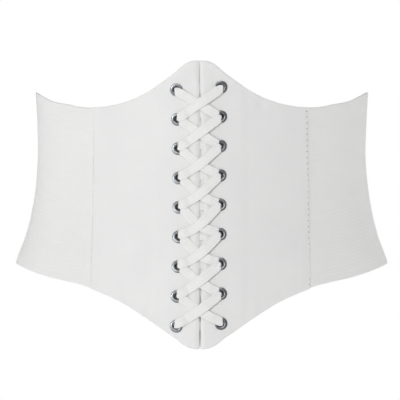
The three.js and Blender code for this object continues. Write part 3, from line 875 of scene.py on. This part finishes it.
def coated_leather():
    """Faux leather: cloth with a white polyurethane coat, pressed with a fine grain. It looks
    matte and even, with a soft wide highlight. The real grain is about 0.5 mm; it is drawn at 0.9 mm
    so that it shows at all."""
    material, tree, shader = new_material("pressed_white_faux_leather")
    place = add(tree, "ShaderNodeTexCoord").outputs["Object"]
    cells = add(
        tree, "ShaderNodeTexVoronoi", {"Vector": place, "Scale": 1 / (0.9 * MM), "Smoothness": 0.6},
        feature="SMOOTH_F1",
    )
    creases = add(tree, "ShaderNodeTexNoise", {"Vector": place, "Scale": 1 / (3.2 * MM), "Detail": 4})
    clouds = add(tree, "ShaderNodeTexNoise", {"Vector": place, "Scale": 1 / (24 * MM), "Detail": 2})
    grain = add(
        tree, "ShaderNodeMath", {0: creases.outputs["Fac"], 1: 0.5, 2: cells.outputs["Distance"]},
        operation="MULTIPLY_ADD",
    )
    bump = add(
        tree, "ShaderNodeBump", {"Strength": 0.35, "Distance": 0.09 * MM, "Height": grain.outputs[0]}
    )
    gloss = add(
        tree, "ShaderNodeMapRange", {"Value": clouds.outputs["Fac"], "To Min": 0.52, "To Max": 0.66}
    )
    colour = blend_colours(tree, clouds.outputs["Fac"], "#f4f4f3", "#edeeed")
    feed(tree, shader, {"Base Color": colour, "Normal": bump.outputs[0]})
    feed(tree, shader, {"Roughness": gloss.outputs[0], "IOR": 1.5, "Specular IOR Level": 0.35})
    return material


def woven_elastic():
    """Wide woven elastic, white: ribs along its length with fine crossing threads. It looks dry and
    even. The threads are 0.8 mm apart. The real ribs are about 1.2 mm apart; they are drawn 2.6 mm
    apart so that they show at all."""
    material, tree, shader = new_material("woven_white_elastic")
    flat = add(tree, "ShaderNodeUVMap", uv_map="UVMap").outputs[0]
    axes = add(tree, "ShaderNodeSeparateXYZ", {0: flat})
    ribs = sine_of(tree, axes.outputs[1], 2.6)
    threads = sine_of(tree, axes.outputs[0], 0.8)
    weave = add(tree, "ShaderNodeMath", {0: threads, 1: 0.35, 2: ribs}, operation="MULTIPLY_ADD")
    place = add(tree, "ShaderNodeTexCoord").outputs["Object"]
    fuzz = add(tree, "ShaderNodeTexNoise", {"Vector": place, "Scale": 1 / (0.7 * MM), "Detail": 3})
    clouds = add(tree, "ShaderNodeTexNoise", {"Vector": place, "Scale": 1 / (20 * MM), "Detail": 2})
    height = add(
        tree, "ShaderNodeMath", {0: fuzz.outputs["Fac"], 1: 1.2, 2: weave.outputs[0]},
        operation="MULTIPLY_ADD",
    )
    bump = add(
        tree, "ShaderNodeBump", {"Strength": 0.5, "Distance": 0.05 * MM, "Height": height.outputs[0]}
    )
    # The rib valleys are painted darker than the ribs, as painted shade, and the clouds vary that tone
    # at random.
    depth = add(
        tree, "ShaderNodeMapRange",
        {"Value": weave.outputs[0], "From Min": -1.35, "From Max": 1.35, "To Min": 0.8, "To Max": 0.2},
    )
    shade = add(
        tree, "ShaderNodeMath", {0: clouds.outputs["Fac"], 1: depth.outputs[0]}, operation="MULTIPLY"
    )
    colour = blend_colours(tree, shade.outputs[0], "#f3f3f2", "#ecedec")
    feed(tree, shader, {"Base Color": colour, "Normal": bump.outputs[0]})
    feed(tree, shader, {"Roughness": 0.78, "Specular IOR Level": 0.25, "Sheen Weight": 0.12})
    return material


def braided_cotton():
    """Flat white lace, braided: rows of slanted yarns that meet in a herring-bone down its middle.
    It looks dry, and a little brighter than the leather. The yarns are 1.2 mm apart."""
    material, tree, shader = new_material("braided_white_lace")
    flat = add(tree, "ShaderNodeUVMap", uv_map="UVMap").outputs[0]
    axes = add(tree, "ShaderNodeSeparateXYZ", {0: flat})
    side = add(tree, "ShaderNodeMath", {0: axes.outputs[1]}, operation="ABSOLUTE")
    slant = add(
        tree, "ShaderNodeMath", {0: side.outputs[0], 1: 0.8, 2: axes.outputs[0]},
        operation="MULTIPLY_ADD",
    )
    yarns = sine_of(tree, slant.outputs[0], 1.2)
    strands = sine_of(tree, side.outputs[0], 1.8)
    place = add(tree, "ShaderNodeTexCoord").outputs["Object"]
    fuzz = add(tree, "ShaderNodeTexNoise", {"Vector": place, "Scale": 1 / (0.6 * MM), "Detail": 3})
    braid = add(tree, "ShaderNodeMath", {0: strands, 1: 0.5, 2: yarns}, operation="MULTIPLY_ADD")
    height = add(
        tree, "ShaderNodeMath", {0: fuzz.outputs["Fac"], 1: 1, 2: braid.outputs[0]},
        operation="MULTIPLY_ADD",
    )
    bump = add(
        tree, "ShaderNodeBump", {"Strength": 0.35, "Distance": 0.08 * MM, "Height": height.outputs[0]}
    )
    # Between the yarns the braid is painted darker and on top of them lighter: painted shade and light
    # that follow its relief.
    share = add(
        tree, "ShaderNodeMapRange",
        {"Value": braid.outputs[0], "From Min": -1.5, "From Max": 1.5, "To Min": 1, "To Max": 0},
    )
    colour = blend_colours(tree, share.outputs[0], "#fafaf9", "#f2f2f1")
    feed(tree, shader, {"Base Color": colour, "Normal": bump.outputs[0]})
    feed(tree, shader, {"Roughness": 0.8, "Specular IOR Level": 0.2, "Sheen Weight": 0.15})
    return material


def plated_nickel():
    """Nickel-plated brass, stamped and rolled: a grey mirror that handling has dulled a little."""
    material, tree, shader = new_material("rolled_nickel_plate")
    place = add(tree, "ShaderNodeTexCoord").outputs["Object"]
    smears = add(tree, "ShaderNodeTexNoise", {"Vector": place, "Scale": 1 / (1.5 * MM), "Detail": 4})
    gloss = add(
        tree, "ShaderNodeMapRange", {"Value": smears.outputs["Fac"], "To Min": 0.22, "To Max": 0.36}
    )
    bump = add(
        tree, "ShaderNodeBump", {"Strength": 0.2, "Distance": 0.03 * MM, "Height": smears.outputs["Fac"]}
    )
    colour = blend_colours(tree, smears.outputs["Fac"], "#989b9f", "#7f8286")
    feed(tree, shader, {"Base Color": colour, "Normal": bump.outputs[0]})
    feed(tree, shader, {"Roughness": gloss.outputs[0], "Metallic": 1})
    return material


def spun_thread():
    """White spun polyester sewing thread with a light twist."""
    material, tree, shader = new_material("spun_white_thread")
    place = add(tree, "ShaderNodeTexCoord").outputs["Object"]
    twist = add(tree, "ShaderNodeTexNoise", {"Vector": place, "Scale": 1 / (0.3 * MM), "Detail": 2})
    bump = add(
        tree, "ShaderNodeBump", {"Strength": 0.3, "Distance": 0.05 * MM, "Height": twist.outputs["Fac"]}
    )
    colour = blend_colours(tree, twist.outputs["Fac"], "#f6f6f5", "#e8e8e6")
    feed(tree, shader, {"Base Color": colour, "Normal": bump.outputs[0]})
    feed(tree, shader, {"Roughness": 0.6})
    return material


def painted_shade_hole():
    """Painted shade for the inside of a needle hole in white cloth: a plain grey that stands in for the
    hole's shade, dull and without any shine.
    """
    material, tree, shader = new_material("painted_shade_needle_hole")
    feed(tree, shader, {"Base Color": linear("#7c7c7b"), "Roughness": 1, "Specular IOR Level": 0})
    return material


def finish_piece(piece, material, slot, *nodes):
    """Gives a piece its material and hides the CAD nodes that it stands for. The record slot is not
    used.
    """
    piece.data.materials.append(material)
    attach(piece, "root")
    if nodes:
        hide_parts(*nodes)
    return piece


leather, elastic, braid = coated_leather(), woven_elastic(), braided_cotton()
nickel, thread, needle_hole_shade = plated_nickel(), spun_thread(), painted_shade_hole()

band = finish_piece(make_band(), elastic, "elastic", "elastic_band")
strip = finish_piece(make_strip(), leather, "faux_leather", "modesty_strip")
finish_piece(make_lace(), braid, "braid", "lace")
for side, area in (("left", 0.0136), ("right", 0.0134)):
    panel = finish_piece(make_panel(side), leather, "faux_leather", f"front_panel_{side}")
    sewing = [
        finish_piece(make_stitches(side), thread, "braid"),
        finish_piece(make_needle_holes(side), needle_hole_shade, "faux_leather"),
    ]
    for number in range(1, EYELETS + 1):
        finish_piece(make_eyelet(side, number), nickel, "nickel", f"eyelet_{side}_{number}")

# Camera at the photograph's angle: level, and turned a little round the belt. Its place is in
# metres, its sensor and lens are in millimetres.
CAMERA_DISTANCE, CAMERA_HEIGHT, CAMERA_YAW, CAMERA_ASIDE = 1.8, -0.0342, math.radians(0.9), -0.0013
SENSOR_WIDTH, LENS_LENGTH = 36, 213.16
camera = bpy.data.objects.new("camera", bpy.data.cameras.new("camera"))
bpy.context.scene.collection.objects.link(camera)
camera.data.sensor_width = SENSOR_WIDTH
camera.data.lens = LENS_LENGTH
camera.location = (
    CAMERA_DISTANCE * math.sin(CAMERA_YAW) + CAMERA_ASIDE * math.cos(CAMERA_YAW),
    -CAMERA_DISTANCE * math.cos(CAMERA_YAW) + CAMERA_ASIDE * math.sin(CAMERA_YAW),
    CAMERA_HEIGHT,
)
camera.rotation_euler = (math.pi / 2, 0, CAMERA_YAW)
camera.data.clip_start, camera.data.clip_end = 0.05, 50
bpy.context.scene.camera = camera


def soft_light(name, place, target, size, watts):
    """A square area light at a place, facing a target."""
    lamp = bpy.data.lights.new(name, "AREA")
    lamp.shape = "SQUARE"
    lamp.size = size
    lamp.energy = watts
    light = bpy.data.objects.new(name, lamp)
    light.location = place
    away = np.array(place) - np.array(target)
    flat = math.hypot(away[0], away[1])
    light.rotation_euler = (math.atan2(flat, away[2]), 0, math.atan2(away[0], -away[1]))
    bpy.context.scene.collection.objects.link(light)


# Soft boxes round the belt: direction from the front in degrees, negative on the left, height above
# its waist, size and power. They face its middle.
SOFT_BOX_DISTANCE = 3
BELT_MIDDLE = (0, 0, -0.034)
SOFT_BOXES = {
    "side_box": (-115, 0.15, 0.8, 19),
    "left_box": (-33, 0.15, 0.8, 28.5),
    "camera_box": (0, 1.2, 1.6, 21),
    "right_box": (104, 0.1, 1.6, 36),
    "top_box": (0, 2.6, 1.6, 6),
    "back_box": (180, 0.3, 1.6, 30),
}
for name, (direction, above, size, watts) in SOFT_BOXES.items():
    turn, reach = math.radians(direction), math.sqrt(SOFT_BOX_DISTANCE**2 - above**2)
    place = (reach * math.sin(turn), -reach * math.cos(turn), above)
    soft_light(name, place, BELT_MIDDLE, size, watts)

# A round floor, in metres.
FLOOR_HEIGHT, FLOOR_RADIUS, FLOOR_SIDES = -0.9, 3.5, 96
angle = np.linspace(0, 2 * np.pi, FLOOR_SIDES, endpoint=False)
ring = np.stack([np.cos(angle), np.sin(angle), 0 * angle], -1) * FLOOR_RADIUS / MM
ring[:, 2] = FLOOR_HEIGHT / MM
floor = put_mesh("floor", ring, [np.arange(FLOOR_SIDES)[None]])
# White paper. A glow that only the camera sees makes it pale under lights that are set for the
# belt, and from below it is see-through, so that it doesn't hide the belt.
PAPER_GLOW = 0.55
paper, tree, shader = new_material("white_backdrop_paper")
path = add(tree, "ShaderNodeLightPath")
glow = add(
    tree, "ShaderNodeMath", {0: path.outputs["Is Camera Ray"], 1: PAPER_GLOW}, operation="MULTIPLY"
)
feed(tree, shader, {"Base Color": linear("#f6f6f6"), "Roughness": 0.9})
feed(tree, shader, {"Emission Color": linear("#ffffff"), "Emission Strength": glow.outputs[0]})
below = add(tree, "ShaderNodeNewGeometry").outputs["Backfacing"]
clear = add(tree, "ShaderNodeBsdfTransparent").outputs[0]
sheet = add(tree, "ShaderNodeMixShader", {0: below, 1: shader.outputs[0], 2: clear})
feed(tree, tree.nodes["Material Output"], {"Surface": sheet.outputs[0]})
floor.data.materials.append(paper)

# A white room: the camera sees pure white, and the belt gets an even light from all round.
ROOM_LIGHT = 0.2
world = bpy.data.worlds.new("white_room")
bpy.context.scene.world = world
world.use_nodes = True
tree = world.node_tree
tree.nodes.clear()
seen = add(tree, "ShaderNodeBackground", {"Color": (1, 1, 1, 1), "Strength": 1})
lit = add(tree, "ShaderNodeBackground", {"Color": (1, 1, 1, 1), "Strength": ROOM_LIGHT})
path = add(tree, "ShaderNodeLightPath")
by_camera = {0: path.outputs["Is Camera Ray"], 1: lit.outputs[0], 2: seen.outputs[0]}
room = add(tree, "ShaderNodeMixShader", by_camera)
add(tree, "ShaderNodeOutputWorld", {0: room.outputs[0]})
bpy.context.scene.view_settings.view_transform = "Standard"
bpy.context.scene.view_settings.look = "None"

bpy.context.view_layer.update()
